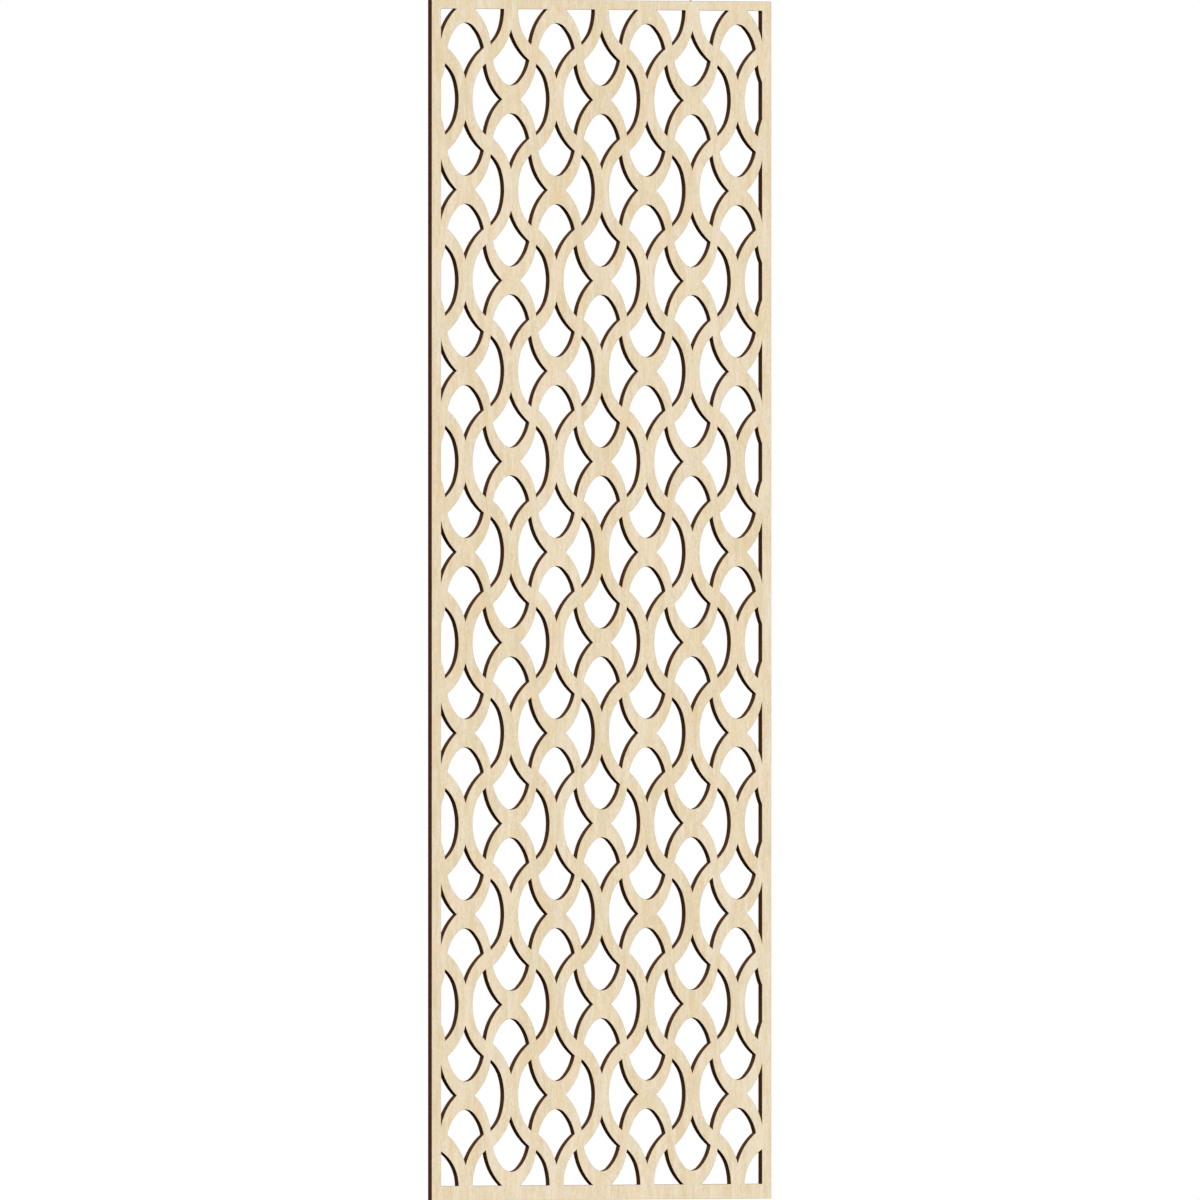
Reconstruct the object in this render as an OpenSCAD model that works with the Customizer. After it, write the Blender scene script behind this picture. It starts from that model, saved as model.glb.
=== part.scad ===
// Hanging room divider: one tall fretwork panel cut from five-ply board, hung by
// two screw eyes and two S-hooks. The origin is midway between the two seats at
// which the hooks hang. The panel faces -Y and hangs below in the XZ plane.

/* [Panel] */
// Width of the panel
panel_w = 654; // [450:1:900]
// Height of the panel
panel_h = 2000; // [1200:1:2400]
// Width of the solid stile down each side
stile_w = 18; // [12:0.1:40]
// Height of the solid rail along the top
top_rail_h = 15.6; // [12:0.1:40]
// Height of the solid rail along the bottom
bottom_rail_h = 24.6; // [12:0.1:60]

/* [Plies] */
// Thickness of each face veneer
veneer_t = 0.6; // [0.4:0.1:1.5]
// Thickness of each crossband under a face veneer
crossband_t = 3.8; // [2:0.1:6]
// Thickness of the core ply, which takes the screw eyes
core_t = 3.9; // [3.6:0.1:8]

/* [Lattice] */
// Spacing of the straps along a row
pitch_x = 174.7; // [160:0.1:195]
// Spacing of the rows, in which straps and nodes take turns
row_h = 150.8; // [140:0.1:165]
// How far the first row's centreline lies up inside the top rail
row_start = 0.3; // [0.2:0.1:5]
// Width of a strap at its waist
strap_w = 27; // [20:0.1:32]
// Length of solid wood in a strap between its two notches
strap_l = 70; // [58:0.1:78]
// Radius of the long arc down each side of a strap
waist_r = 98; // [90:0.1:115]
// Length of that arc, top to bottom
waist_l = 70; // [60:0.1:76]
// Width of a node at its neck
neck_w = 34.2; // [28:0.1:46]
// Depth of a node between the bell opening above and the one below
node_d = 46.8; // [40:0.1:58]
// Radius of the arc from a node's neck to the tip of a side opening
node_side_r = 93.4; // [85:0.1:120]
// Width of a crossing between the corners of two bell openings
cross_w = 17.5; // [12:0.1:22]
// Height of a crossing between those corners
cross_h = 20.2; // [14:0.1:24]
// Sideways distance between the tips of two side openings at a crossing
tip_gap_w = 9.6; // [6:0.1:14]
// Upright distance between those tips
tip_gap_h = 32.2; // [28:0.1:38]
// Radius of the crown of a bell opening
crown_r = 22; // [19:0.1:26]
// How far the crown arc reaches to each side of upright, in degrees
crown_angle = 39; // [32:1:44]
// Radius of the arc from a strap's notch to the corner of a bell opening
throat_r = 100; // [85:0.1:115]
// Radius of the arc of the opening at the foot of each stile
foot_r = 66.3; // [60:0.1:75]

/* [Screw eyes] */
// Wire diameter of the ring of a screw eye
eye_wire_d = 2.8; // [2:0.1:4]
// Inside diameter of that ring
eye_in_d = 9.5; // [8:0.1:16]
// Diameter of the shank that is screwed into the board
shank_d = 3; // [2:0.1:3.2]
// Length of the shank below the top edge
shank_l = 25; // [15:0.5:40]
// Length of the pointed end of the shank
shank_tip_l = 5; // [2:0.5:8]
// Length of bare neck between the top edge and the ring
eye_neck_l = 1.5; // [0.5:0.1:5]
// Gap all round the shank in its pilot hole
pilot_clear = 0.05; // [0.02:0.01:0.1]
// Depth of the pilot hole past the point of the shank
pilot_extra = 1; // [0.5:0.5:5]

/* [S-hooks] */
// Wire diameter of an S-hook
hook_wire_d = 3; // [2:0.1:4]
// Inside diameter of each of its two bends
hook_in_d = 10; // [9:0.1:16]
// Angle that each bend turns through, in degrees
hook_turn = 265; // [240:1:285]
// Gap between the hook and the ring of its screw eye
hook_clear = 0.3; // [0.1:0.05:0.6]

/* [Hidden] */

veneer_colour = "#E9D9B8";
ply_colour = "#6B4A33";
core_colour = "#5A3C28";
zinc_colour = "#B9BCC0";

round_fn = 96;          // divisions of the large arcs
wire_fn = 48;           // divisions of wires, shanks and pilot holes
corner_turn = 3;        // degrees by which one arc breaks away from the next, too few to see
cut_past = 1;           // how far a cutting shape runs past what it cuts

// S-hook, from the seat at the origin's height downwards
hook_bend_r = (hook_in_d + hook_wire_d) / 2;
hook_top_z = -hook_in_d / 2;
hook_mid_z = hook_top_z - hook_bend_r;
hook_low_z = hook_mid_z - hook_bend_r;

// Screw eye: the top of its ring lies in the hook's lower bend
eye_bend_r = (eye_in_d + eye_wire_d) / 2;
pivot_z = hook_low_z - hook_in_d / 2 + hook_clear + eye_wire_d / 2;
eye_z = pivot_z - eye_bend_r;
top_z = eye_z - eye_bend_r - eye_wire_d / 2 - eye_neck_l;
eye_x = pitch_x;        // the eyes stand over the straps next to the middle one
pilot_d = shank_d + 2 * pilot_clear;

// Panel
bottom_z = top_z - panel_h;
panel_t = core_t + 2 * crossband_t + 2 * veneer_t;
open_w = panel_w - 2 * stile_w;
open_h = panel_h - top_rail_h - bottom_rail_h;
first_row_z = top_z - top_rail_h + row_start;
last_row = ceil(open_h / row_h);
last_column = ceil(open_w / pitch_x);
foot_row = round((open_h + row_start) / row_h);
foot_column = floor(open_w / pitch_x);
foot_gap = (open_w - foot_column * pitch_x) / 2;

// Corner points of the openings round a strap whose centre is [0, 0]
tip = [(pitch_x / 2 - tip_gap_w) / 2, (row_h - tip_gap_h) / 2];
neck = [(pitch_x - neck_w) / 2, 0];
notch = [0, strap_l / 2];
corner = [(pitch_x / 2 - cross_w) / 2, (row_h + cross_h) / 2];

function unit(angle) = [sin(angle), cos(angle)];

// Centre of a circle of radius r through a and b, on the left going from a to b
function centre_left(a, b, r) =
    let (d = b - a, l = norm(d))
    (a + b) / 2 + [-d.y, d.x] / l * sqrt(r * r - l * l / 4);

// Radius of a circle that passes a with the outward normal n and then reaches b
function radius_to(a, n, b) = let (d = b - a) -(d * d) / (2 * (d * n));

// How far back along an arc of radius r1 the circle of radius r2, which
// breaks away from it by corner_turn, stays outside it, to the widest point
function overlap_l(r1, r2) = corner_turn * PI / 180 / abs(1 / r2 - 1 / r1);

// Strap side: a long waist arc, then a tighter shoulder arc to the tip
waist_c = [strap_w / 2 + waist_r, 0];
waist_angle = asin(waist_l / 2 / waist_r);
waist_end = waist_c + waist_r * [-cos(waist_angle), sin(waist_angle)];
shoulder_n = unit(waist_angle + corner_turn - 90);
shoulder_r = radius_to(waist_end, shoulder_n, tip);
shoulder_c = waist_end - shoulder_r * shoulder_n;
waist_band = waist_end.y - overlap_l(waist_r, shoulder_r) * cos(waist_angle);

// Node side: one arc from the tip to the neck
node_side_c = centre_left(tip, neck, node_side_r);

// Bell opening: a crown arc, a flank arc to the corner, and a throat arc to the notch
crown_c = [0, row_h - node_d / 2 - crown_r];
crown_end = crown_c + crown_r * unit(crown_angle);
flank_n = unit(crown_angle + corner_turn);
flank_r = radius_to(crown_end, flank_n, corner);
flank_c = crown_end - flank_r * flank_n;
flank_top = crown_end.y - overlap_l(crown_r, flank_r) * sin(crown_angle);
throat_c = centre_left(corner, notch, throat_r);

module disc(centre, r) {
    translate(centre)
        circle(r = r, $fn = round_fn);
}

// The opening between a strap and the node on its right
module side_opening() {
    difference() {
        intersection() {
            disc(waist_c, waist_r);
            union() {
                disc(shoulder_c, shoulder_r);
                disc([shoulder_c.x, -shoulder_c.y], shoulder_r);
                translate([0, -waist_band])
                    square([pitch_x, 2 * waist_band]);
            }
        }
        disc(node_side_c, node_side_r);
        disc([node_side_c.x, -node_side_c.y], node_side_r);
    }
}

// The opening above a strap, up to the node over it
module bell_opening() {
    difference() {
        intersection() {
            disc(flank_c, flank_r);
            disc([-flank_c.x, flank_c.y], flank_r);
            union() {
                disc(crown_c, crown_r);
                translate([-pitch_x / 2, 0])
                    square([pitch_x, flank_top]);
            }
        }
        disc(throat_c, throat_r);
        disc([-throat_c.x, throat_c.y], throat_r);
    }
}

// The opening between the last strap and the foot of the stile, with no node beside it
module foot_opening() {
    disc([strap_w / 2 + foot_r, 0], foot_r);
}

// The opening on the right of the strap in this row and column
module right_opening(row, column) {
    if (row == foot_row && column == foot_column && foot_gap > tip.x && foot_gap < neck.x)
        foot_opening();
    else
        side_opening();
}

// All the openings, row by row from the top
module openings() {
    for (row = [0 : last_row], column = [-last_column : last_column])
        if ((row + column) % 2 == 0)
            translate([column * pitch_x / 2, first_row_z - row * row_h]) {
                right_opening(row, column);
                mirror([1, 0]) right_opening(row, -column);
                bell_opening();
                mirror([0, 1]) bell_opening();
            }
}

// Outline of every ply: the frame and the lattice in one sheet
module fretwork() {
    difference() {
        translate([-panel_w / 2, bottom_z])
            square([panel_w, panel_h]);
        intersection() {
            translate([-open_w / 2, bottom_z + bottom_rail_h])
                square([open_w, open_h]);
            openings();
        }
    }
}

// One ply, from its front face back
module ply(front_y, t) {
    translate([0, front_y + t, 0])
        rotate([90, 0, 0])
            linear_extrude(t)
                fretwork();
}

module front_veneer() {
    color(veneer_colour)
        ply(-panel_t / 2, veneer_t);
}

module front_crossband() {
    color(ply_colour)
        ply(-core_t / 2 - crossband_t, crossband_t);
}

module core_ply() {
    color(core_colour)
        difference() {
            ply(-core_t / 2, core_t);
            for (x = [-eye_x, eye_x])
                translate([x, 0, top_z - shank_l - pilot_extra])
                    cylinder(h = shank_l + pilot_extra + cut_past, d = pilot_d, $fn = wire_fn);
        }
}

module back_crossband() {
    color(ply_colour)
        ply(core_t / 2, crossband_t);
}

module back_veneer() {
    color(veneer_colour)
        ply(core_t / 2 + crossband_t, veneer_t);
}

// Part of a ring of round wire about the X axis, from +Y up and over to -Y
module bend(r, wire_d, turn) {
    rotate([90, 0, 90])
        rotate_extrude(angle = turn, $fn = round_fn)
            translate([r, 0])
                circle(d = wire_d, $fn = wire_fn);
}

module screw_eye(x) {
    color(zinc_colour)
        translate([x, 0, 0]) {
            translate([0, 0, eye_z])
                rotate([90, 0, 0])
                    rotate_extrude($fn = round_fn)
                        translate([eye_bend_r, 0])
                            circle(d = eye_wire_d, $fn = wire_fn);
            translate([0, 0, top_z - shank_l + shank_tip_l])
                cylinder(h = shank_l - shank_tip_l + eye_neck_l + eye_wire_d / 2,
                         d = shank_d, $fn = wire_fn);
            translate([0, 0, top_z - shank_l])
                cylinder(h = shank_tip_l, d1 = shank_d / 6, d2 = shank_d, $fn = wire_fn);
        }
}

// The two bends meet halfway; the upper one opens at the front below, the lower one
// at the back above
module s_hook(x) {
    color(zinc_colour)
        translate([x, 0, 0]) {
            translate([0, 0, hook_top_z])
                rotate([-90, 0, 0])
                    bend(hook_bend_r, hook_wire_d, hook_turn);
            translate([0, 0, hook_low_z])
                rotate([90, 0, 0])
                    bend(hook_bend_r, hook_wire_d, hook_turn);
        }
}

module screw_eye_left() { screw_eye(-eye_x); }
module screw_eye_right() { screw_eye(eye_x); }
module s_hook_left() { s_hook(-eye_x); }
module s_hook_right() { s_hook(eye_x); }

front_veneer();
front_crossband();
core_ply();
back_crossband();
back_veneer();
screw_eye_left();
screw_eye_right();
s_hook_left();
s_hook_right();
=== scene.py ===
"""Hanging room divider panel: a tall sheet of five-ply birch cut through with an ogee
lattice, hung by two screw eyes and two S-hooks. Every visible piece is modelled here
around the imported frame, in metres, with the panel facing -Y."""

import math

import bmesh
import bpy
from mathutils import Matrix, Vector


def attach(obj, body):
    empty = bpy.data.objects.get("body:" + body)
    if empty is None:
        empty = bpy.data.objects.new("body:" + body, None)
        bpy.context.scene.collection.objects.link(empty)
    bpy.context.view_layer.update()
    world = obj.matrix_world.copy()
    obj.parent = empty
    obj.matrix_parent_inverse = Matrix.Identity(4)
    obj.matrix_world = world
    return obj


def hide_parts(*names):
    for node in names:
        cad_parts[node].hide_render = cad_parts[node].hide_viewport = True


bl_info = {
    "name": "Hanging Fretwork Panel",
    "version": (1, 0, 0),
    "blender": (4, 5, 0),
    "location": "3D View > Sidebar > Divider",
    "description": "Builds a hanging room divider panel of cut birch plywood",
    "category": "Object",
}

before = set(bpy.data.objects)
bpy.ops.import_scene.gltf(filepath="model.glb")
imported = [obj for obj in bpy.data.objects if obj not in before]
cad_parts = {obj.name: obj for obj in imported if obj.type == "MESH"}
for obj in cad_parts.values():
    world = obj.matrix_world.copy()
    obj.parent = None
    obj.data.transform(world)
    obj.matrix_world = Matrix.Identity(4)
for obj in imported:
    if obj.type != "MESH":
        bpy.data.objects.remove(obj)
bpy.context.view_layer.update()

MM = 0.001
PLIES = ("front_veneer", "front_crossband", "core_ply", "back_crossband", "back_veneer")
SIDES = {"left": -1, "right": 1}

WELD = 1e-6             # points closer than this are one point
STAMP_WELD = 1e-5       # the same, where openings stamped side by side meet
CORNER_TURN = 3         # degrees by which one arc breaks away from the next
BELL_STEP = 1.4         # a bell opening's small arcs take steps this much longer
BORDER_CUTS = 30        # points added to each side of the border, to avoid slivers
FLAT_FACE = 0.99        # a normal this far along Y belongs to a face of the board
WOOD_ANGLE = math.radians(28)   # edges of wood that turn by more than this stay sharp
WIRE_ANGLE = math.radians(40)   # the same for wire

WIRE_SIDES = 24         # sides of a screw eye's wire, and rings in a turn of thread
HOOK_SIDES = 28         # sides of an S-hook's wire
BORE_SIDES = 32         # sides of a pilot hole
BEND_STEP = math.radians(5)     # bend of a wire between two rings of its mesh
SHANK_POINT = 1 / 6     # diameter of a shank's blunt point, as a share of the shank's
ROOT_SHARE = 1.6        # above 1, the thread's root is flat and its crest is narrow
RING_END = math.radians(-65)    # where a screw eye's ring is cut off, up from level
END_RINGS = 4           # rings that round the cut end of a wire over
END_SPARE = 0.6         # part of a ring by which that stops short of a quarter turn
END_FLAT = 0.35         # what it rounds down to, as a share of the wire's diameter

HORIZON = 0.05          # a ray this far off level meets the full sky or full ground
SENSOR_W = 36.0         # width of the camera's picture in millimetres
FACTOR, FIRST, SECOND, MIXED = 0, 6, 7, 2   # a colour Mix node's sockets and output

# Noises of the materials: size in millimetres along X, Y and Z, detail, and roughness.
SWAY = (120, 10, 160), 1, 0.5           # carries the upright grain to either side
WOOD_NOISES = {
    "drift": ((50, 4, 420), 1, 0.5),    # slow drift of tone across the sheet
    "streak": ((9.5, 4, 70), 3, 0.5),   # growth rings, cut nearly flat
    "fibre": ((2.4, 4, 30), 4, 0.7),    # bundles of fibres
    "fleck": ((3, 4, 5.5), 2, 0.6),     # short flecks
    "lean": ((18, 5, 36), 1, 0.5),      # patches of orange and of grey
    "flush": ((8, 5, 14), 1, 0.5),      # flushes of pink and of straw
    "pore": ((0.45, 4, 7), 1, 0.5),     # 0.1 mm wide on birch; drawn wider, to show
}
RIDGE = (0.8, 60, 0.8), 2, 0.6          # pulses 0.1 mm apart; drawn coarser, to show
SCORCH = (12, 6, 12), 3, 0.55           # patches that the laser burnt more
CLOUD = (4, 4, 4), 3, 0.6               # dull clouds in the zinc
DRAWN = (0.5, 0.5, 0.5), 2, 0.5         # the plated wire's fine unevenness

SWAY_REACH = 12 * MM    # how far the grain sways
PORE_RIM, PORE_FLOOR = 0.60, 0.74   # values of its noise at a pore's rim and floor
FIGURE_SHARES = {"drift": 0.14, "streak": 0.27, "fibre": 0.29, "fleck": 0.30}
# Each tint of the veneer: the noise that lays it on, the values at which it sets in and
# is full, its full strength, the finish's colour, and how it is mixed.
VENEER_TINTS = (
    ("figure", 0.43, 0.57, 1.00, "veneer_pale", "MIX"),
    ("lean", 0.50, 0.68, 0.26, "veneer_warm", "MIX"),
    ("lean", 0.50, 0.32, 0.26, "veneer_cool", "MIX"),
    ("flush", 0.50, 0.68, 0.20, "veneer_rose", "MIX"),
    ("flush", 0.50, 0.32, 0.20, "veneer_straw", "MIX"),
    ("pore", PORE_RIM, PORE_FLOOR, 0.25, "veneer_deep", "MULTIPLY"),
)
PORE_PIT = 0.8          # depth of a pore, as a share of the fibres' relief
SMOKE_FALL = 1.8        # above 1, the smoke margin fades quickly away from the cut
SMOKE_MOST = 0.4        # its strength at the cut
SCORCH_SHARE = 0.45     # patches in the char, against the ridges
BURN = {                # how black the laser left each ply's edge, from 0, brown, to 1
    "front_veneer": 0.42, "front_crossband": 0.46, "core_ply": 0.62,
    "back_crossband": 0.46, "back_veneer": 0.42,
}
BURN_SPREAD = 0.28      # how far the char's ridges and patches depart from that
GLUE_W = 0.16 * MM      # how far a dark glue line reaches into the ply from its face
GLUE_CORE = 0.04 * MM   # how much of that is at full strength
GLUE_MOST = 0.75        # that strength


# ---------------------------------------------------------------- colours and nodes

def linear(code):
    """Linear colour, with alpha, of an sRGB hex code."""
    channels = [int(code[i:i + 2], 16) / 255 for i in (1, 3, 5)]
    return [c / 12.92 if c <= 0.04045 else ((c + 0.055) / 1.055) ** 2.4
            for c in channels] + [1.0]


def add_node(tree, kind, sockets=None, out=0, **settings):
    """Adds a node, sets its properties, sets or links the sockets named, and returns
    the output asked for."""
    node = tree.nodes.new(kind)
    for name, value in settings.items():
        setattr(node, name, value)
    for name, value in (sockets or {}).items():
        if isinstance(value, bpy.types.NodeSocket):
            tree.links.new(value, node.inputs[name])
        else:
            node.inputs[name].default_value = value
    return node.outputs[out] if node.outputs else None


def new_material(name):
    """An empty node material and its tree."""
    material = bpy.data.materials.new(name)
    material.use_nodes = True
    material.node_tree.nodes.clear()
    return material, material.node_tree


def grain(tree, place, size, detail, rough):
    """Noise whose blotches have the given sizes along X, Y and Z, in millimetres."""
    stretched = add_node(tree, "ShaderNodeMapping", {
        "Vector": place, "Scale": [1 / (s * MM) for s in size]})
    return add_node(tree, "ShaderNodeTexNoise", {
        "Vector": stretched, "Scale": 1.0, "Detail": detail, "Roughness": rough}, "Fac")


# ---------------------------------------------------------------- sizes and colours

def length(name, size, description):
    """A length property whose default is given in millimetres."""
    return bpy.props.FloatProperty(
        name=name, default=size * MM, min=0.0, unit="LENGTH", precision=5,
        description=description)


def turn(name, degrees, description):
    """An angle property whose default is given in degrees."""
    return bpy.props.FloatProperty(
        name=name, default=math.radians(degrees), unit="ROTATION",
        description=description)


def colour(name, code, description):
    """A colour property whose default is an sRGB hex code."""
    return bpy.props.FloatVectorProperty(
        name=name, size=4, subtype="COLOR", min=0.0, max=1.0,
        default=linear(code), description=description)


def amount(name, value, description):
    """A plain number from 0 up."""
    return bpy.props.FloatProperty(
        name=name, default=value, min=0.0, description=description)


def direction(name, value, description):
    """A direction, which need not have length 1."""
    return bpy.props.FloatVectorProperty(
        name=name, default=value, subtype="DIRECTION", description=description)


class DividerLattice(bpy.types.PropertyGroup):
    """Sizes of the panel's outline and of the lattice cut through it."""

    panel_w: length("Panel width", 654, "Width of the panel")
    panel_h: length("Panel height", 2000, "Height of the panel")
    top_drop: length("Drop", 36.5, "From the hooks' seats down to the top edge")
    stile_w: length("Stile", 18, "Solid wood down each side")
    top_rail_h: length("Top rail", 15.6, "Solid wood along the top")
    bottom_rail_h: length("Bottom rail", 24.6, "Solid wood along the bottom")
    pitch_x: length("Strap spacing", 174.7, "Spacing of the straps along a row")
    row_h: length("Row height", 150.8, "Spacing of the rows")
    row_start: length("Row start", 0.3, "First row's centreline up inside the top rail")
    strap_w: length("Strap width", 27, "Width of a strap at its waist")
    strap_l: length("Strap length", 70, "Solid wood between a strap's two notches")
    waist_r: length("Waist radius", 98, "Radius of the long arc down a strap's side")
    waist_l: length("Waist length", 70, "Length of that arc, top to bottom")
    neck_w: length("Neck", 34.2, "Width of a node at its neck")
    node_d: length("Node depth", 46.8, "Node between the bell openings above and below")
    node_side_r: length("Node side radius", 93.4, "Arc from a neck to an opening's tip")
    cross_w: length("Crossing width", 17.5, "Between the corners of two bell openings")
    cross_h: length("Crossing height", 20.2, "Upright distance between those corners")
    tip_gap_w: length("Tip gap", 9.6, "Sideways between the tips of two side openings")
    tip_gap_h: length("Tip gap height", 32.2, "Upright distance between those tips")
    crown_r: length("Crown radius", 22, "Radius of the crown of a bell opening")
    crown_angle: turn("Crown angle", 39, "How far the crown reaches from upright")
    throat_r: length("Throat radius", 100, "From a strap's notch to a bell's corner")
    foot_r: length("Foot radius", 66.3, "Arc of the opening at the foot of a stile")


class DividerBoard(bpy.types.PropertyGroup):
    """Thickness of each ply, and what the laser leaves at its edges."""

    veneer_t: length("Veneer", 0.6, "Thickness of each face veneer")
    crossband_t: length("Crossband", 3.8, "Thickness of each crossband")
    core_t: length("Core", 3.9, "Thickness of the core ply")
    ease: length("Eased edge", 0.25, "Sanded off the sharp edge of every cut")
    smoke_w: length("Smoke margin", 1.2, "Width of the faint tan margin beside a cut")
    arc_step: turn("Arc step", 2.4, "Largest turn from one point of an arc to the next")


class DividerWire(bpy.types.PropertyGroup):
    """Sizes of the screw eyes and S-hooks, which are bent from round wire."""

    eye_wire_d: length("Eye wire", 2.8, "Wire diameter of a screw eye's ring")
    eye_in_d: length("Eye inside", 9.5, "Inside diameter of the ring")
    shank_d: length("Shank", 3, "Diameter of the shank in the board")
    shank_l: length("Shank length", 25, "Length of the shank below the top edge")
    shank_tip_l: length("Shank tip", 5, "Length of its pointed end")
    thread_l: length("Thread length", 18.2, "Threaded part of the shank, from its tip")
    thread_pitch: length("Thread pitch", 1.4, "Climb of the thread in one turn")
    thread_depth: length("Thread depth", 0.35, "Depth of the thread in the full shank")
    eye_neck_l: length("Neck length", 1.5, "From the top edge up to the ring's wire")
    gooseneck_r: length("Gooseneck", 2, "Radius of the bend from neck into ring")
    pilot_clear: length("Pilot clearance", 0.05, "Gap round the shank in its hole")
    pilot_extra: length("Pilot extra", 1, "Hole past the point of the shank")
    hook_wire_d: length("Hook wire", 3, "Wire diameter of an S-hook")
    hook_in_d: length("Hook inside", 10, "Inside diameter of each of its bends")
    hook_turn: turn("Hook turn", 265, "Angle that each bend turns through")
    end_round: length("End rounding", 0.5, "Length of the rounded end of a wire")


class DividerFinish(bpy.types.PropertyGroup):
    """Colours of the veneer, the charred edges and the zinc plate."""

    veneer_pale: colour("Veneer, pale", "#EFE2CA", "Early wood of the birch veneer")
    veneer_deep: colour("Veneer, deep", "#E1CCA4", "Late wood of the birch veneer")
    veneer_warm: colour("Veneer, warm", "#F2D8B3", "Patches that lean to orange")
    veneer_cool: colour("Veneer, cool", "#DED5BB", "Patches that lean to grey")
    veneer_rose: colour("Veneer, rose", "#EBCFBB", "Flushes of pink")
    veneer_straw: colour("Veneer, straw", "#E5DFB5", "Flushes of straw")
    smoke: colour("Smoke", "#C9A777", "Tan margin where the laser's smoke settled")
    char_brown: colour("Char, brown", "#6E4A30", "A ply's edge where it is least burnt")
    char_black: colour("Char, black", "#3C2514", "A ply's edge where it is most burnt")
    glue: colour("Glue line", "#24160D", "Cut glue between two plies")
    zinc: colour("Zinc", "#B4B8BD", "Bright zinc plate on steel")
    zinc_dull: colour("Zinc, dull", "#8C9095", "Where handling has dulled the zinc")


class DividerStage(bpy.types.PropertyGroup):
    """Floor, light and camera."""

    floor_gap: length("Floor gap", 120, "From the panel's foot down to the floor")
    floor_w: length("Floor", 5000, "Width of the floor")
    floor_seen: colour("Floor, seen", "#C3C3C3", "Lit floor, where it is looked at")
    floor_glow: amount("Floor glow", 0.4, "White added to that, so that it shows pale")
    floor_lit: colour("Floor, lit", "#363636", "What it throws back up at the panel")
    azimuth: turn("Azimuth", -30, "The photograph's angle round the panel")
    frame_h: length("Framed height", 2001.2, "Height of the picture at the panel")
    lens: bpy.props.FloatProperty(
        name="Lens", default=1400.0, unit="CAMERA",
        description="Focal length, long enough to flatten the view")
    key: amount("Key lamp", 0.87, "Soft lamp at the front")
    key_from: direction("Key from", (-0.26, -0.72, 0.40), "Where its light comes from")
    key_spread: turn("Key spread", 30, "Breadth of the lamp, seen from the panel")
    fill: amount("Fill lamp", 0.7, "Soft lamp at the back")
    fill_from: direction("Fill from", (0.15, 0.90, 0.30), "Where its light comes from")
    fill_spread: turn("Fill spread", 60, "Breadth of the lamp, seen from the panel")
    sky: amount("Light from above", 0.5, "Room light off the ceiling")
    ground: amount("Light from below", 0.03, "Room light off the floor")


GROUPS = {
    "divider_lattice": DividerLattice,
    "divider_board": DividerBoard,
    "divider_wire": DividerWire,
    "divider_finish": DividerFinish,
    "divider_stage": DividerStage,
}


# ---------------------------------------------------------------- materials

def birch_veneer(finish):
    """Rotary-cut birch, sanded and left bare: a pale, even, matte face whose upright
    grain shows as faint wavering streaks a few millimetres wide, as soft patches that
    lean to orange or to grey, as small flushes of pink or of straw, and as fine short
    pores."""
    material, tree = new_material("birch_veneer_sanded")
    place = add_node(tree, "ShaderNodeTexCoord", out="Object")
    sway = add_node(tree, "ShaderNodeMath", {
        0: grain(tree, place, *SWAY), 1: SWAY_REACH}, operation="MULTIPLY")
    place = add_node(tree, "ShaderNodeVectorMath", {
        0: place, 1: add_node(tree, "ShaderNodeCombineXYZ", {"X": sway})},
        operation="ADD")
    noise = {name: grain(tree, place, *kind) for name, kind in WOOD_NOISES.items()}
    noise["figure"] = 0.0
    for name, share in FIGURE_SHARES.items():
        noise["figure"] = add_node(tree, "ShaderNodeMath", {
            0: noise[name], 1: share, 2: noise["figure"]}, operation="MULTIPLY_ADD")
    wood = finish.veneer_deep
    for name, sets_in, full, most, tint, blend in VENEER_TINTS:
        laid_on = add_node(tree, "ShaderNodeMapRange", {
            "Value": noise[name], "From Min": sets_in, "From Max": full,
            "To Max": most})
        wood = add_node(tree, "ShaderNodeMix", {
            FACTOR: laid_on, FIRST: wood, SECOND: getattr(finish, tint)}, MIXED,
            data_type="RGBA", blend_type=blend)
    margin = add_node(tree, "ShaderNodeMath", {
        0: add_node(tree, "ShaderNodeAttribute", out="Fac", attribute_name="smoke"),
        1: SMOKE_FALL}, operation="POWER")
    margin = add_node(tree, "ShaderNodeMath", {0: margin, 1: SMOKE_MOST},
                      operation="MULTIPLY")
    wood = add_node(tree, "ShaderNodeMix", {
        FACTOR: margin, FIRST: wood, SECOND: finish.smoke}, MIXED, data_type="RGBA")
    pit = add_node(tree, "ShaderNodeMapRange", {
        "Value": noise["pore"], "From Min": PORE_RIM, "From Max": PORE_FLOOR,
        "To Max": PORE_PIT})
    relief = add_node(tree, "ShaderNodeMath", {0: noise["fibre"], 1: pit},
                      operation="SUBTRACT")
    bump = add_node(tree, "ShaderNodeBump", {
        "Height": relief, "Distance": 0.12 * MM, "Strength": 0.35})
    rough = add_node(tree, "ShaderNodeMapRange", {
        "Value": noise["streak"], "From Min": 0.3, "From Max": 0.7,
        "To Min": 0.56, "To Max": 0.66})
    shader = add_node(tree, "ShaderNodeBsdfPrincipled", {
        "Base Color": wood, "Roughness": rough, "IOR": 1.5,
        "Specular IOR Level": 0.25, "Normal": bump})
    add_node(tree, "ShaderNodeOutputMaterial", {"Surface": shader})
    return material


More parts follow.
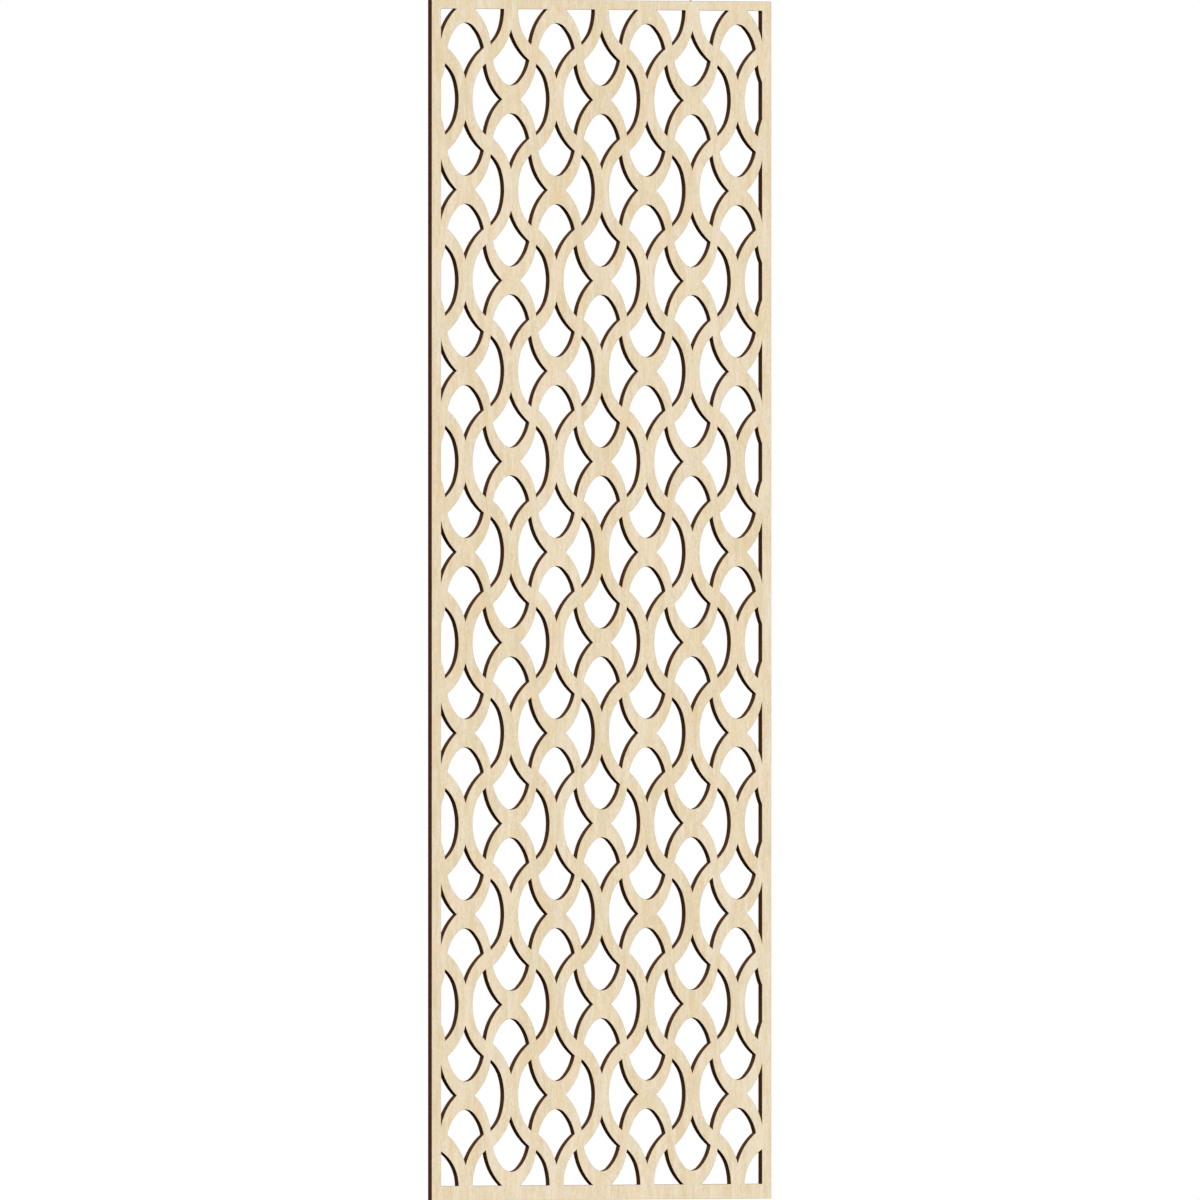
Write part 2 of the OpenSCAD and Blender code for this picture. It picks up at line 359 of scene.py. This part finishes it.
def charred_edge(ply, finish, front_y, back_y):
    """The cut edge of a ply: carbonised dull and dark brown by the laser, with fine
    ridges through the thickness from its pulses and a black glue line to each side."""
    material, tree = new_material("charred_edge_" + ply)
    place = add_node(tree, "ShaderNodeTexCoord", out="Object")
    ridge, scorch = grain(tree, place, *RIDGE), grain(tree, place, *SCORCH)
    burnt = add_node(tree, "ShaderNodeMath", {0: ridge, 1: 1 - SCORCH_SHARE},
                     operation="MULTIPLY")
    burnt = add_node(tree, "ShaderNodeMath", {0: scorch, 1: SCORCH_SHARE, 2: burnt},
                     operation="MULTIPLY_ADD")
    burnt = add_node(tree, "ShaderNodeMapRange", {
        "Value": burnt, "From Min": 0.34, "From Max": 0.66,
        "To Min": BURN[ply] - BURN_SPREAD, "To Max": BURN[ply] + BURN_SPREAD})
    char = add_node(tree, "ShaderNodeMix", {
        FACTOR: burnt, FIRST: finish.char_brown, SECOND: finish.char_black}, MIXED,
        data_type="RGBA")
    offset = add_node(tree, "ShaderNodeMath", {
        0: add_node(tree, "ShaderNodeSeparateXYZ", {"Vector": place}, "Y"),
        1: (front_y + back_y) / 2}, operation="SUBTRACT")
    offset = add_node(tree, "ShaderNodeMath", {0: offset}, operation="ABSOLUTE")
    half = (back_y - front_y) / 2
    glued = add_node(tree, "ShaderNodeMapRange", {
        "Value": offset, "From Min": half - GLUE_W, "From Max": half - GLUE_CORE,
        "To Max": GLUE_MOST})
    char = add_node(tree, "ShaderNodeMix", {
        FACTOR: glued, FIRST: char, SECOND: finish.glue}, MIXED, data_type="RGBA")
    bump = add_node(tree, "ShaderNodeBump", {
        "Height": ridge, "Distance": 0.14 * MM, "Strength": 0.5})
    shader = add_node(tree, "ShaderNodeBsdfPrincipled", {
        "Base Color": char, "Roughness": 0.9, "IOR": 1.5,
        "Specular IOR Level": 0.0, "Normal": bump})
    add_node(tree, "ShaderNodeOutputMaterial", {"Surface": shader})
    return material


def zinc_plate(finish):
    """Steel wire, drawn, bent and plated with bright zinc: a bluish grey metal with a
    soft shine and faint cloudy dull patches."""
    material, tree = new_material("zinc_plated_steel_wire")
    place = add_node(tree, "ShaderNodeTexCoord", out="Object")
    cloud = grain(tree, place, *CLOUD)
    dull = add_node(tree, "ShaderNodeMapRange", {
        "Value": cloud, "From Min": 0.4, "From Max": 0.7})
    plate = add_node(tree, "ShaderNodeMix", {
        FACTOR: dull, FIRST: finish.zinc, SECOND: finish.zinc_dull}, MIXED,
        data_type="RGBA")
    rough = add_node(tree, "ShaderNodeMapRange", {
        "Value": cloud, "From Min": 0.35, "From Max": 0.7,
        "To Min": 0.24, "To Max": 0.42})
    bump = add_node(tree, "ShaderNodeBump", {
        "Height": grain(tree, place, *DRAWN), "Distance": 0.03 * MM, "Strength": 0.3})
    shader = add_node(tree, "ShaderNodeBsdfPrincipled", {
        "Base Color": plate, "Metallic": 1.0, "Roughness": rough, "Normal": bump})
    add_node(tree, "ShaderNodeOutputMaterial", {"Surface": shader})
    return material


# ---------------------------------------------------------------- mesh tools

def only(kind, geometry):
    """The elements of one kind among those that an operator gave back."""
    return [item for item in geometry if isinstance(item, kind)]


def everything(bm):
    """All points, edges and faces of a mesh, for an operator that wants a list."""
    return bm.verts[:] + bm.edges[:] + bm.faces[:]


def swing(bm, vert, centre, end, step):
    """Carries a point round a centre, the short way, until it reaches an end point,
    and leaves the edges of the arc behind it."""
    start, stop = vert.co.xz - centre, end - centre
    angle = math.atan2(start.x * stop.y - start.y * stop.x, start.dot(stop))
    last = bmesh.ops.spin(
        bm, geom=[vert], cent=(centre.x, 0, centre.y), axis=(0, -1, 0), angle=angle,
        steps=max(1, math.ceil(abs(angle) / step)), use_duplicate=False)["geom_last"]
    return only(bmesh.types.BMVert, last)[0]


def opening_mesh(name, start, arcs, axis, step):
    """An opening as one face: half its outline, traced arc by arc, then mirrored."""
    bm = bmesh.new()
    vert = bmesh.ops.create_vert(bm, co=(start.x, 0, start.y))["vert"][0]
    for centre, end in arcs:
        vert = swing(bm, vert, centre, end, step)
    bmesh.ops.mirror(bm, geom=everything(bm), matrix=Matrix.Identity(4),
                     merge_dist=WELD, axis=axis)
    bmesh.ops.remove_doubles(bm, verts=bm.verts[:], dist=WELD)
    bmesh.ops.edgeloop_fill(bm, edges=bm.edges[:])
    mesh = bpy.data.meshes.new(name)
    bm.to_mesh(mesh)
    bm.free()
    return mesh


def foot_mesh(name, radius, start, step):
    """The round opening at the foot of a stile, before the border cuts it."""
    bm = bmesh.new()
    place = Matrix.Translation((start + radius, 0, 0))
    bmesh.ops.create_circle(
        bm, cap_ends=True, segments=math.ceil(math.tau / step), radius=radius,
        matrix=place @ Matrix.Rotation(math.pi / 2, 4, "X"))
    mesh = bpy.data.meshes.new(name)
    bm.to_mesh(mesh)
    bm.free()
    return mesh


def stamp(bm, mesh, matrix):
    """Adds a copy of a mesh, moved by a matrix."""
    known = len(bm.verts)
    bm.from_mesh(mesh)
    bm.verts.ensure_lookup_table()
    bmesh.ops.transform(bm, matrix=matrix, verts=bm.verts[known:])


def sharpen(bm, limit):
    """Smooth faces, with every edge that turns by more than the limit left sharp."""
    for face in bm.faces:
        face.smooth = True
    for edge in bm.edges:
        edge.smooth = len(edge.link_faces) != 2 or edge.calc_face_angle() < limit


def new_piece(bm, name, materials, node, body):
    """Turns a finished mesh into a piece that stands for its CAD node."""
    mesh = bpy.data.meshes.new(name)
    bm.to_mesh(mesh)
    bm.free()
    for material in materials:
        mesh.materials.append(material)
    piece = bpy.data.objects.new(name, mesh)
    bpy.context.scene.collection.objects.link(piece)
    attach(piece, body)
    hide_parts(node)
    return piece


# ---------------------------------------------------------------- fretwork

def unit(angle):
    """The direction in X and Z that leans this far to the right of straight up."""
    return Vector((math.sin(angle), math.cos(angle)))


def centre_left(a, b, radius):
    """Centre of a circle through a and b, on the left going from a to b."""
    along = b - a
    across = Vector((-along.y, along.x)).normalized()
    return (a + b) / 2 + across * math.sqrt(radius ** 2 - along.length_squared / 4)


def radius_to(a, normal, b):
    """Radius of a circle that passes a with the outward normal and then reaches b."""
    along = b - a
    return -along.length_squared / (2 * along.dot(normal))


def side_opening(s, step):
    """The opening between a strap and the node on its right: a long waist arc, a
    tighter shoulder to the tip, and the node's side back to its neck."""
    corner_turn = math.radians(CORNER_TURN)
    tip = Vector(((s.pitch_x / 2 - s.tip_gap_w) / 2, (s.row_h - s.tip_gap_h) / 2))
    neck = Vector(((s.pitch_x - s.neck_w) / 2, 0))
    waist_c = Vector((s.strap_w / 2 + s.waist_r, 0))
    waist_angle = math.asin(s.waist_l / 2 / s.waist_r)
    waist_end = waist_c + s.waist_r * Vector((
        -math.cos(waist_angle), math.sin(waist_angle)))
    shoulder_n = unit(waist_angle + corner_turn - math.pi / 2)
    shoulder_c = waist_end - radius_to(waist_end, shoulder_n, tip) * shoulder_n
    node_side_c = centre_left(tip, neck, s.node_side_r)
    return opening_mesh("side_opening", Vector((s.strap_w / 2, 0)), (
        (waist_c, waist_end), (shoulder_c, tip), (node_side_c, neck)), "Z", step)


def bell_opening(s, step):
    """The opening above a strap: crown, flank to the corner, throat to the notch."""
    corner = Vector(((s.pitch_x / 2 - s.cross_w) / 2, (s.row_h + s.cross_h) / 2))
    notch = Vector((0, s.strap_l / 2))
    crown_c = Vector((0, s.row_h - s.node_d / 2 - s.crown_r))
    crown_end = crown_c + s.crown_r * unit(s.crown_angle)
    flank_n = unit(s.crown_angle + math.radians(CORNER_TURN))
    flank_c = crown_end - radius_to(crown_end, flank_n, corner) * flank_n
    throat_c = centre_left(corner, notch, s.throat_r)
    return opening_mesh("bell_opening", crown_c + Vector((0, s.crown_r)), (
        (crown_c, crown_end), (flank_c, corner), (throat_c, notch)), "X",
        step * BELL_STEP)


def fretwork_mesh(s, step):
    """The wood of the panel as one flat sheet at Y = 0: the openings are stamped row
    by row, cut back to the border, and the sheet is filled in round them."""
    top, bottom = -s.top_drop, -s.top_drop - s.panel_h
    open_w = s.panel_w - 2 * s.stile_w
    open_h = s.panel_h - s.top_rail_h - s.bottom_rail_h
    foot_row = round((open_h + s.row_start) / s.row_h)
    foot_column = math.floor(open_w / s.pitch_x)
    side, bell = side_opening(s, step), bell_opening(s, step)
    foot = foot_mesh("foot_opening", s.foot_r, s.strap_w / 2, step)
    mirrored = {1: Matrix.Identity(4), -1: Matrix.Scale(-1, 4, (1, 0, 0))}
    flipped = Matrix.Scale(-1, 4, (0, 0, 1))
    rows, columns = math.ceil(open_h / s.row_h), math.ceil(open_w / s.pitch_x)
    bm = bmesh.new()
    for row in range(rows + 1):
        for column in range(-columns, columns + 1):
            if (row + column) % 2:
                continue
            here = Matrix.Translation((column * s.pitch_x / 2, 0, (
                top - s.top_rail_h + s.row_start - row * s.row_h)))
            stamp(bm, bell, here)
            stamp(bm, bell, here @ flipped)
            for hand, matrix in mirrored.items():
                at_foot = row == foot_row and column * hand == foot_column
                stamp(bm, foot if at_foot else side, here @ matrix)
    for place, outward in (((0, 0, top - s.top_rail_h), (0, 0, 1)),
                           ((0, 0, bottom + s.bottom_rail_h), (0, 0, -1)),
                           ((open_w / 2, 0, 0), (1, 0, 0)),
                           ((-open_w / 2, 0, 0), (-1, 0, 0))):
        bmesh.ops.bisect_plane(bm, geom=everything(bm), dist=WELD, plane_co=place,
                               plane_no=outward, clear_outer=True)
    bmesh.ops.remove_doubles(bm, verts=bm.verts[:], dist=STAMP_WELD)
    known = len(bm.edges)
    board = Matrix.Translation((0, 0, (top + bottom) / 2)) @ Matrix.Diagonal(
        (s.panel_w, 1, s.panel_h, 1)) @ Matrix.Rotation(math.pi / 2, 4, "X")
    bmesh.ops.create_grid(bm, x_segments=1, y_segments=1, size=0.5, matrix=board)
    bmesh.ops.delete(bm, geom=bm.faces[:], context="FACES_ONLY")
    bm.edges.ensure_lookup_table()
    bmesh.ops.subdivide_edges(bm, edges=bm.edges[known:], cuts=BORDER_CUTS)
    bmesh.ops.triangle_fill(bm, use_beauty=True, use_dissolve=False,
                            edges=bm.edges[:], normal=(0, -1, 0))
    mesh = bpy.data.meshes.new("fretwork")
    bm.to_mesh(mesh)
    bm.free()
    for template in (side, bell, foot):
        bpy.data.meshes.remove(template)
    return mesh


def thicken(bm, start_y, end_y):
    """Gives the sheet its thickness and returns the faces at end_y."""
    bmesh.ops.translate(bm, verts=bm.verts[:], vec=(0, start_y, 0))
    grown = bmesh.ops.extrude_face_region(
        bm, geom=bm.faces[:], use_keep_orig=True)["geom"]
    bmesh.ops.translate(bm, verts=only(bmesh.types.BMVert, grown),
                        vec=(0, end_y - start_y, 0))
    return only(bmesh.types.BMFace, grown)


def veneer_ply(sheet, inner_y, outer_y, board):
    """A face veneer: its outer edge is eased, and a smoke margin runs beside it. Its
    faces have material 0, and its cut walls and their eased edges have material 1."""
    bm = bmesh.new()
    bm.from_mesh(sheet)
    outward = math.copysign(1, outer_y - inner_y)
    cap = thicken(bm, inner_y, outer_y - outward * board.ease)
    bmesh.ops.recalc_face_normals(bm, faces=bm.faces[:])
    bmesh.ops.inset_region(bm, faces=cap, thickness=board.ease, depth=board.ease,
                           use_boundary=True, use_even_offset=True)
    bmesh.ops.inset_region(bm, faces=cap, thickness=board.smoke_w, depth=0.0,
                           use_boundary=True, use_even_offset=True)
    margin = bm.verts.layers.float.new("smoke")
    inside = {vert for face in cap for vert in face.verts}
    for vert in bm.verts:
        vert[margin] = 0.0 if vert in inside else 1.0
    bm.normal_update()
    for face in bm.faces:
        face.material_index = 0 if abs(face.normal.y) > FLAT_FACE else 1
    sharpen(bm, WOOD_ANGLE)
    return bm


def inner_ply(sheet, front_y, back_y):
    """A ply between the veneers, square-edged, as glue holds both its faces."""
    bm = bmesh.new()
    bm.from_mesh(sheet)
    thicken(bm, back_y, front_y)
    bmesh.ops.recalc_face_normals(bm, faces=bm.faces[:])
    bm.normal_update()
    sharpen(bm, WOOD_ANGLE)
    return bm


def sheet_for(context):
    """The fretwork sheet, made once and kept for all five plies."""
    return bpy.data.meshes.get("fretwork") or fretwork_mesh(
        context.scene.divider_lattice, context.scene.divider_board.arc_step)


def drill(piece, lattice, wire):
    """Bores the two pilot holes down into the core ply's top edge."""
    bm = bmesh.new()
    depth = wire.shank_l + wire.pilot_extra
    radius = wire.shank_d / 2 + wire.pilot_clear
    for hand in SIDES.values():
        bmesh.ops.create_cone(
            bm, cap_ends=True, segments=BORE_SIDES, depth=2 * depth,
            radius1=radius, radius2=radius,
            matrix=Matrix.Translation((hand * lattice.pitch_x, 0, -lattice.top_drop)))
    mesh = bpy.data.meshes.new("drill")
    bm.to_mesh(mesh)
    bm.free()
    bit = bpy.data.objects.new("drill", mesh)
    bpy.context.scene.collection.objects.link(bit)
    bore = piece.modifiers.new("pilot_holes", "BOOLEAN")
    bore.operation, bore.solver, bore.object = "DIFFERENCE", "EXACT", bit
    graph = bpy.context.evaluated_depsgraph_get()
    bored = bpy.data.meshes.new_from_object(piece.evaluated_get(graph))
    piece.modifiers.clear()
    old, piece.data = piece.data, bored
    bored.name = piece.name
    bpy.data.meshes.remove(old)
    bpy.data.objects.remove(bit)
    bpy.data.meshes.remove(mesh)


# ---------------------------------------------------------------- bent wire

def push(bm, loop, vec, scale=1.0):
    """Draws a ring of edges out along a vector, scaled about its own middle."""
    grown = bmesh.ops.extrude_edge_only(bm, edges=loop)["geom"]
    verts = only(bmesh.types.BMVert, grown)
    bmesh.ops.translate(bm, verts=verts, vec=vec)
    middle = sum((vert.co for vert in verts), Vector()) / len(verts)
    bmesh.ops.scale(bm, verts=verts, vec=(scale,) * 3,
                    space=Matrix.Translation(-middle))
    return only(bmesh.types.BMEdge, grown)


def bend(bm, loop, centre, axis, angle):
    """Bends a ring of edges round a centre, leaving the wall of the wire behind it."""
    last = bmesh.ops.spin(
        bm, geom=loop, cent=centre, axis=axis, angle=angle,
        steps=math.ceil(abs(angle) / BEND_STEP), use_duplicate=False)["geom_last"]
    return only(bmesh.types.BMEdge, last)


def round_end(bm, loop, ahead, depth):
    """Rounds the end of a wire over and closes it."""
    before, size = 0.0, 1.0
    for ring in range(1, END_RINGS + 1):
        angle = math.pi / 2 * ring / (END_RINGS + END_SPARE)
        reach = depth * math.sin(angle)
        width = END_FLAT + (1 - END_FLAT) * math.cos(angle)
        loop = push(bm, loop, ahead * (reach - before), width / size)
        before, size = reach, width
    bmesh.ops.edgeloop_fill(bm, edges=loop)


def threaded_shank(bm, x, base_z, wire):
    """Draws the shank up from its point in fine rings and sinks the thread into them:
    a sharp crest that climbs round it, a flat root, and a run-out into the wire."""
    radius, point = wire.shank_d / 2, SHANK_POINT
    bmesh.ops.create_circle(
        bm, cap_ends=True, segments=WIRE_SIDES, radius=radius * point,
        matrix=Matrix.Translation((x, 0, base_z)))
    loop, size, gap = bm.edges[:], point, wire.thread_pitch / WIRE_SIDES
    for ring in range(1, round(wire.thread_l / gap) + 1):
        grown = min(1.0, point + (1 - point) * ring * gap / wire.shank_tip_l)
        loop = push(bm, loop, (0, 0, gap), grown / size)
        size = grown
    for vert in bm.verts:
        height, out = vert.co.z - base_z, vert.co.xy - Vector((x, 0))
        climb = height / wire.thread_pitch - math.atan2(out.y, out.x) / math.tau
        root = min(1.0, ROOT_SHARE * abs(math.sin(math.pi * climb)))
        run_out = min(1.0, (wire.thread_l - height) / wire.thread_pitch)
        out *= 1 - wire.thread_depth / radius * root * run_out
        vert.co.x, vert.co.y = x + out.x, out.y
    return loop


def screw_eye(x, lattice, wire):
    """A screw eye bent from one wire: threaded shank, plain neck, a small gooseneck to
    one side, and the ring, whose cut end stops just short of the neck."""
    bm = bmesh.new()
    top = -lattice.top_drop
    radius = (wire.eye_in_d + wire.eye_wire_d) / 2
    ring_z = top + wire.eye_neck_l + wire.eye_wire_d / 2 + radius
    gooseneck = wire.gooseneck_r
    bend_z = ring_z - math.sqrt(radius ** 2 + 2 * radius * gooseneck)
    loop = threaded_shank(bm, x, top - wire.shank_l, wire)
    loop = push(bm, loop, (0, 0, wire.shank_l - wire.thread_l))
    loop = push(bm, loop, (0, 0, (bend_z - top) / 2), wire.eye_wire_d / wire.shank_d)
    loop = push(bm, loop, (0, 0, (bend_z - top) / 2))
    lean = math.atan2(ring_z - bend_z, gooseneck)
    loop = bend(bm, loop, (x - gooseneck, 0, bend_z), (0, -1, 0), lean)
    loop = bend(bm, loop, (x, 0, ring_z), (0, -1, 0), RING_END - (lean + math.pi))
    ahead = Vector((math.sin(RING_END), 0, -math.cos(RING_END)))
    round_end(bm, loop, ahead, wire.end_round)
    bmesh.ops.recalc_face_normals(bm, faces=bm.faces[:])
    sharpen(bm, WIRE_ANGLE)
    return bm


def s_hook(x, wire):
    """An S-hook bent from one wire, from its middle up round the front and down round
    the back."""
    bm = bmesh.new()
    radius = (wire.hook_in_d + wire.hook_wire_d) / 2
    upper_z = -wire.hook_in_d / 2
    middle = Matrix.Translation((x, 0, upper_z - radius))
    bmesh.ops.create_circle(
        bm, cap_ends=False, segments=HOOK_SIDES, radius=wire.hook_wire_d / 2,
        matrix=middle @ Matrix.Rotation(math.pi / 2, 4, "X"))
    start = bm.edges[:]
    for centre_z, side in ((upper_z, 1), (upper_z - 2 * radius, -1)):
        loop = bend(bm, start, (x, 0, centre_z), (1, 0, 0), wire.hook_turn)
        ahead = Vector((0, math.cos(wire.hook_turn), math.sin(wire.hook_turn))) * side
        round_end(bm, loop, ahead, wire.end_round)
    bmesh.ops.remove_doubles(bm, verts=bm.verts[:], dist=WELD)
    bmesh.ops.recalc_face_normals(bm, faces=bm.faces[:])
    sharpen(bm, WIRE_ANGLE)
    return bm


# ---------------------------------------------------------------- operators

def ply_depths(board):
    """Front and back Y of each ply, from the front face to the back face."""
    thickness = (board.veneer_t, board.crossband_t, board.core_t, board.crossband_t,
                 board.veneer_t)
    front = -sum(thickness) / 2
    depths = {}
    for name, size in zip(PLIES, thickness):
        depths[name] = (front, front + size)
        front += size
    return depths


class DIVIDER_OT_veneers(bpy.types.Operator):
    """Builds the two face veneers"""

    bl_idname = "divider.veneers"
    bl_label = "Face Veneers"
    bl_options = {"REGISTER", "UNDO"}

    def execute(self, context):
        board, finish = context.scene.divider_board, context.scene.divider_finish
        sheet, depths = sheet_for(context), ply_depths(board)
        wood = birch_veneer(finish)
        for name in (PLIES[0], PLIES[-1]):
            inner, outer = sorted(depths[name], key=abs)
            wall = charred_edge(name, finish, *depths[name])
            new_piece(veneer_ply(sheet, inner, outer, board), name + "_birch",
                      (wood, wall), name, "panel")
        return {"FINISHED"}


class DIVIDER_OT_inner_plies(bpy.types.Operator):
    """Builds the crossbands and the core ply"""

    bl_idname = "divider.inner_plies"
    bl_label = "Inner Plies"
    bl_options = {"REGISTER", "UNDO"}

    def execute(self, context):
        scene = context.scene
        board, finish = scene.divider_board, scene.divider_finish
        sheet, depths = sheet_for(context), ply_depths(board)
        for name in PLIES[1:-1]:
            front, back = depths[name]
            core = name == "core_ply"
            wall = charred_edge(name, finish, front, back)
            piece = new_piece(inner_ply(sheet, front, back), name + "_birch",
                              (wall,), name, "panel")
            if core:
                drill(piece, scene.divider_lattice, scene.divider_wire)
        return {"FINISHED"}


class DIVIDER_OT_screw_eyes(bpy.types.Operator):
    """Builds the two screw eyes in the top edge"""

    bl_idname = "divider.screw_eyes"
    bl_label = "Screw Eyes"
    bl_options = {"REGISTER", "UNDO"}

    def execute(self, context):
        scene = context.scene
        zinc = zinc_for(scene)
        for side, hand in SIDES.items():
            bm = screw_eye(hand * scene.divider_lattice.pitch_x, scene.divider_lattice,
                           scene.divider_wire)
            new_piece(bm, f"screw_eye_{side}_wire", (zinc,), f"screw_eye_{side}",
                      "panel")
        return {"FINISHED"}


class DIVIDER_OT_s_hooks(bpy.types.Operator):
    """Builds the two S-hooks that hang the panel"""

    bl_idname = "divider.s_hooks"
    bl_label = "S-Hooks"
    bl_options = {"REGISTER", "UNDO"}

    def execute(self, context):
        scene = context.scene
        zinc = zinc_for(scene)
        for side, hand in SIDES.items():
            bm = s_hook(hand * scene.divider_lattice.pitch_x, scene.divider_wire)
            new_piece(bm, f"s_hook_{side}_wire", (zinc,), f"s_hook_{side}",
                      f"{side}_hook")
        return {"FINISHED"}


def zinc_for(scene):
    """The zinc plate, made once and kept for all four wires."""
    return bpy.data.materials.get("zinc_plated_steel_wire") or zinc_plate(
        scene.divider_finish)


# ---------------------------------------------------------------- stage

def soft_lamp(name, strength, source, spread):
    """A wide, soft lamp; strength 1 lights a white face that looks at it as white."""
    lamp = bpy.data.lights.new(name, "SUN")
    lamp.energy, lamp.angle = strength * math.pi, spread
    holder = bpy.data.objects.new(name, lamp)
    holder.rotation_euler = Vector(source).to_track_quat("Z", "Y").to_euler()
    bpy.context.scene.collection.objects.link(holder)


def seen_directly(tree):
    """1 for rays from the camera, also by way of a mirror or glass, and else 0."""
    seen = 0.0
    for ray in ("Is Camera Ray", "Is Glossy Ray", "Is Transmission Ray"):
        seen = add_node(tree, "ShaderNodeMath", {
            0: seen, 1: add_node(tree, "ShaderNodeLightPath", out=ray)},
            operation="MAXIMUM")
    return seen


def studio_world(stage):
    """White where it is seen; its light comes from above more than from below."""
    world = bpy.data.worlds.new("pale_studio_room")
    world.use_nodes = True
    tree = world.node_tree
    tree.nodes.clear()
    upward = add_node(tree, "ShaderNodeSeparateXYZ", {
        "Vector": add_node(tree, "ShaderNodeTexCoord", out="Generated")}, "Z")
    strength = add_node(tree, "ShaderNodeMapRange", {
        "Value": upward, "From Min": -HORIZON, "From Max": HORIZON,
        "To Min": stage.ground, "To Max": stage.sky})
    light, seen = (add_node(tree, "ShaderNodeBackground", {
        "Color": linear("#FFFFFF"), "Strength": value}) for value in (strength, 1.0))
    both = add_node(tree, "ShaderNodeMixShader", {
        0: seen_directly(tree), 1: light, 2: seen})
    add_node(tree, "ShaderNodeOutputWorld", {"Surface": both})
    bpy.context.scene.world = world


def floor_paint(stage):
    """A pale matte paint that shows near white but for the panel's soft shadow, throws
    little light back up, and can be looked through from below."""
    material, tree = new_material("pale_painted_floor")
    matte, lit = (add_node(tree, "ShaderNodeBsdfDiffuse", {"Color": value})
                  for value in (stage.floor_seen, stage.floor_lit))
    glow = add_node(tree, "ShaderNodeEmission", {
        "Color": linear("#FFFFFF"), "Strength": stage.floor_glow})
    seen = add_node(tree, "ShaderNodeAddShader", {0: matte, 1: glow})
    paint = add_node(tree, "ShaderNodeMixShader", {
        0: seen_directly(tree), 1: lit, 2: seen})
    surface = add_node(tree, "ShaderNodeMixShader", {
        0: add_node(tree, "ShaderNodeNewGeometry", out="Backfacing"), 1: paint,
        2: add_node(tree, "ShaderNodeBsdfTransparent")})
    add_node(tree, "ShaderNodeOutputMaterial", {"Surface": surface})
    return material


def pale_floor(z, stage):
    """The floor, which isn't part of the object."""
    bm = bmesh.new()
    bmesh.ops.create_grid(bm, x_segments=1, y_segments=1, size=stage.floor_w / 2,
                          matrix=Matrix.Translation((0, 0, z)))
    mesh = bpy.data.meshes.new("floor")
    bm.to_mesh(mesh)
    bm.free()
    mesh.materials.append(floor_paint(stage))
    floor = bpy.data.objects.new("floor", mesh)
    bpy.context.scene.collection.objects.link(floor)


def long_camera(stage, target):
    """A camera so far off that upright and level lines stay parallel."""
    camera = bpy.data.cameras.new("long_camera")
    camera.lens, camera.sensor_width = stage.lens, SENSOR_W
    distance = stage.frame_h * camera.lens / SENSOR_W
    back = Vector((math.sin(stage.azimuth), -math.cos(stage.azimuth), 0))
    camera.clip_start, camera.clip_end = 1.0, 2 * distance
    holder = bpy.data.objects.new("long_camera", camera)
    holder.location = target + distance * back
    holder.rotation_euler = (-back).to_track_quat("-Z", "Y").to_euler()
    bpy.context.scene.collection.objects.link(holder)
    bpy.context.scene.camera = holder


class DIVIDER_OT_stage(bpy.types.Operator):
    """Builds the floor, the light and the camera"""

    bl_idname = "divider.stage"
    bl_label = "Studio Stage"
    bl_options = {"REGISTER", "UNDO"}

    def execute(self, context):
        stage, lattice = context.scene.divider_stage, context.scene.divider_lattice
        foot = -lattice.top_drop - lattice.panel_h
        pale_floor(foot - stage.floor_gap, stage)
        soft_lamp("key_softbox", stage.key, stage.key_from, stage.key_spread)
        soft_lamp("fill_softbox", stage.fill, stage.fill_from, stage.fill_spread)
        studio_world(stage)
        long_camera(stage, Vector((0, 0, foot + lattice.panel_h / 2)))
        context.scene.view_settings.view_transform = "Standard"
        return {"FINISHED"}


class DIVIDER_PT_panel(bpy.types.Panel):
    """Sizes and colours of the divider, and the buttons that build it"""

    bl_idname = "DIVIDER_PT_panel"
    bl_label = "Hanging Fretwork Panel"
    bl_space_type = "VIEW_3D"
    bl_region_type = "UI"
    bl_category = "Divider"

    def draw(self, context):
        for attribute, group in GROUPS.items():
            box = self.layout.box()
            box.label(text=group.__name__.replace("Divider", ""))
            for name in group.__annotations__:
                box.prop(getattr(context.scene, attribute), name)
        for operator in OPERATORS:
            self.layout.operator(operator.bl_idname)


OPERATORS = (DIVIDER_OT_veneers, DIVIDER_OT_inner_plies, DIVIDER_OT_screw_eyes,
             DIVIDER_OT_s_hooks, DIVIDER_OT_stage)
CLASSES = (*GROUPS.values(), *OPERATORS, DIVIDER_PT_panel)


def register():
    for cls in CLASSES:
        bpy.utils.register_class(cls)
    for attribute, group in GROUPS.items():
        setattr(bpy.types.Scene, attribute, bpy.props.PointerProperty(type=group))


def unregister():
    for attribute in GROUPS:
        delattr(bpy.types.Scene, attribute)
    for cls in reversed(CLASSES):
        bpy.utils.unregister_class(cls)


def main():
    register()
    bpy.ops.divider.veneers()
    bpy.ops.divider.inner_plies()
    bpy.ops.divider.screw_eyes()
    bpy.ops.divider.s_hooks()
    bpy.ops.divider.stage()


if __name__ == "__main__":
    main()
